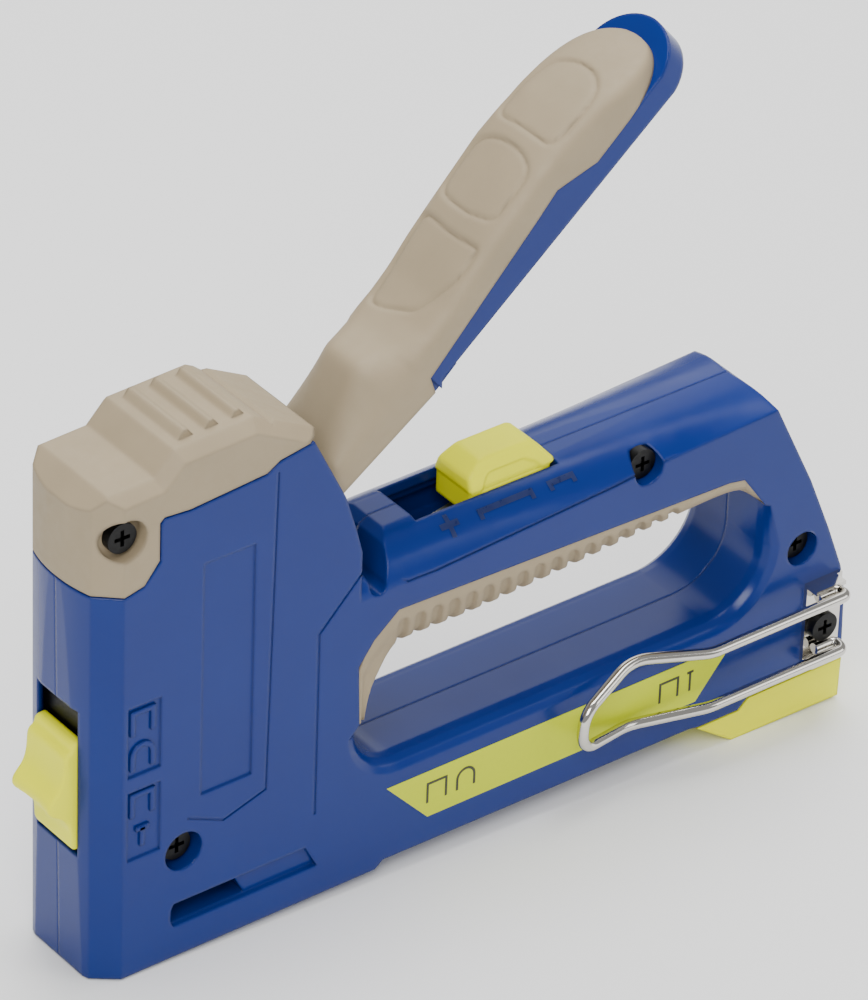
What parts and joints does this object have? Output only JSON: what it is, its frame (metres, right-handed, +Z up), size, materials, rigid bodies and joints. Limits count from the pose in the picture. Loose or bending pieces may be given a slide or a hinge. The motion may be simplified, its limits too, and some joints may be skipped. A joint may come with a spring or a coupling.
{
  "type": "staple gun",
  "caption": "Hand staple gun with a two-shell plastic housing, squeeze lever, finger opening, rear magazine, power slider and wire belt clip.",
  "frame": {"origin": "centre of the flat striking face under the nose, on the plane where the two shells meet", "axes": "+X from the nose to the tail, +Y to the tool's right side, +Z up, away from the work"},
  "size_m": [0.2089, 0.0359, 0.1845],
  "materials": {
    "blue_plastic": "glossy moulded",
    "beige_rubber": "soft matt",
    "yellow_plastic": "satin moulded",
    "label_film": "printed film",
    "steel": "ground",
    "bright_wire": "polished nickel plate",
    "spring_steel": "drawn",
    "black_oxide": "black oxide",
    "zinc": "die cast",
    "buffer_rubber": "black"
  },
  "bodies": {
    "housing": {"left_shell": "blue_plastic", "right_shell": "blue_plastic", "top_cap": "beige_rubber", "finger_insert": "beige_rubber", "nose_plate": "black_oxide", "magazine_channel": "steel", "bumper": "buffer_rubber", "spring_seat": "steel", "housing_screws": "black_oxide", "cap_screws": "black_oxide", "pivot_pin": "steel", "side_label": "label_film", "clip_bracket": "bright_wire", "clip_screw": "black_oxide", "slider_detent": "spring_steel", "main_spring": "spring_steel"},
    "striker": {"plunger": "zinc", "driver_blade": "steel", "lift_pin": "steel"},
    "lever": {"lever_channel": "blue_plastic", "lever_grip": "beige_rubber", "lift_fork": "steel", "fork_rivets": "steel", "return_spring": "spring_steel"},
    "selector": {"width_selector": "yellow_plastic"},
    "power": {"power_slider": "yellow_plastic"},
    "magazine": {"magazine_cap": "yellow_plastic", "staple_rail": "steel", "guide_rod": "steel", "pusher_spring": "spring_steel"},
    "pusher": {"pusher": "steel"},
    "clip": {"belt_clip": "bright_wire"}
  },
  "joints": [
    {"name": "lever_swing", "type": "hinge", "parent": "housing", "child": "lever", "pos_m": [0.038, 0, 0.083], "axis": [0, 1, 0], "range_deg": [0, 39], "stiffness_Nm_per_rad": 6, "springref_deg": -8.59, "deforming": ["return_spring"]},
    {"name": "striker_lift", "type": "slide", "parent": "housing", "child": "striker", "axis": [0, 0, 1], "range_m": [0, 0.0242], "deforming": ["main_spring"]},
    {"name": "selector_slide", "type": "slide", "parent": "housing", "child": "selector", "axis": [0, 0, 1], "range_m": [0, 0.0075]},
    {"name": "power_slide", "type": "slide", "parent": "housing", "child": "power", "axis": [-1, 0, 0], "range_m": [0, 0.014]},
    {"name": "magazine_slide", "type": "slide", "parent": "housing", "child": "magazine", "axis": [1, 0, 0], "range_m": [0, 0.1]},
    {"name": "pusher_slide", "type": "slide", "parent": "magazine", "child": "pusher", "axis": [1, 0, 0], "range_m": [0, 0.12], "stiffness_N_per_m": 40, "springref_m": -0.12, "deforming": ["pusher_spring"]},
    {"name": "clip_flex", "type": "hinge", "parent": "housing", "child": "clip", "pos_m": [0.1906, -0.0186, 0.018], "axis": [0, 0, 1], "range_deg": [0, 7], "stiffness_Nm_per_rad": 1.5, "springref_deg": -2.86}
  ],
  "couplings": [
    {"joint": "striker_lift", "follows": "lever_swing", "m_per_rad": 0.035376}
  ]
}
